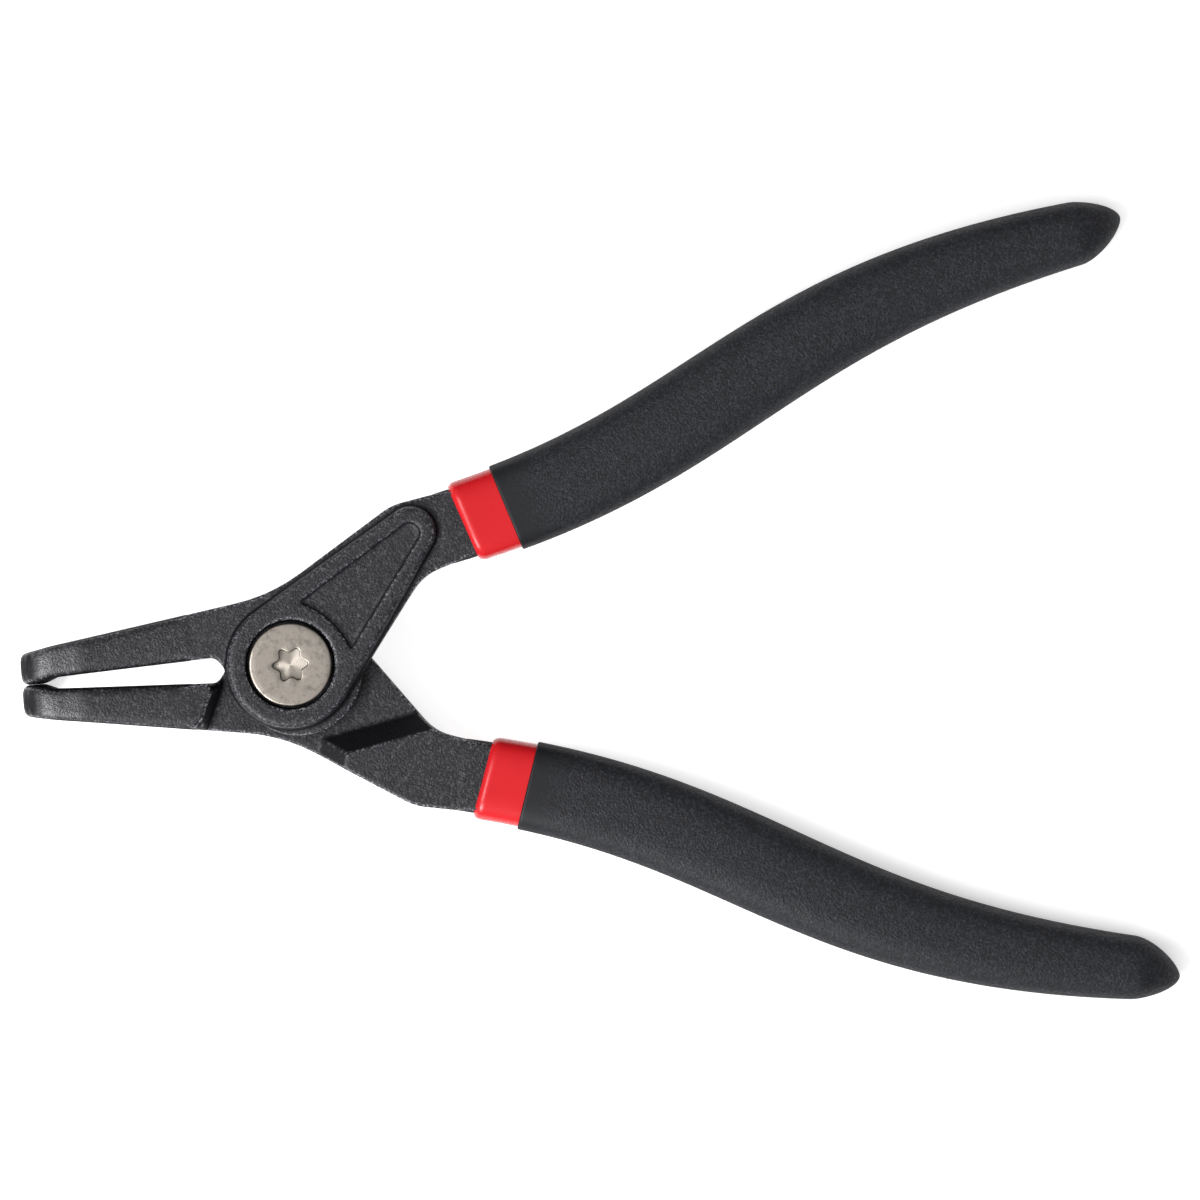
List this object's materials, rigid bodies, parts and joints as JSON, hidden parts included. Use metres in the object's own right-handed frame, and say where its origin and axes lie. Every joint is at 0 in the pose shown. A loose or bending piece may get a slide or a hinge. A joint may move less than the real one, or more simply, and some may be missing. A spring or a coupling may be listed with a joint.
{
  "type": "bent-nose external circlip pliers",
  "caption": "Lap-jointed pliers with jaws bent down at a right angle and thin pin tips that spread a retaining ring open on a shaft; double-dipped curved handles.",
  "frame": {"origin": "on the pivot axis, in the plane of the lower half's back pad", "axes": "+X along the tool towards the handle ends, +Y towards the upper half, +Z along the pivot towards the screw head"},
  "size_m": [0.1811, 0.128, 0.0195],
  "materials": {
    "forged_steel": "forged, blasted and black phosphated",
    "tip_steel": "ground and hardened",
    "screw_steel": "satin nickel plated",
    "spring_steel": "drawn spring wire",
    "inner_coat": "dipped, glossy red",
    "outer_coat": "dipped, matte black with a fine grain"
  },
  "bodies": {
    "lower_half": {"lower_forging": "forged_steel", "lower_tip": "tip_steel", "pivot_screw": "screw_steel", "pivot_nut": "screw_steel", "return_spring": "spring_steel", "lower_inner_coat": "inner_coat", "lower_grip": "outer_coat"},
    "upper_half": {"upper_forging": "forged_steel", "upper_tip": "tip_steel", "upper_inner_coat": "inner_coat", "upper_grip": "outer_coat"}
  },
  "joints": [
    {"name": "pivot", "type": "hinge", "parent": "lower_half", "child": "upper_half", "pos_m": [0, 0, 0.0058], "axis": [0, 0, -1], "range_deg": [0, 41], "stiffness_Nm_per_rad": 0.25, "springref_deg": -68.75, "deforming": ["return_spring"]}
  ]
}
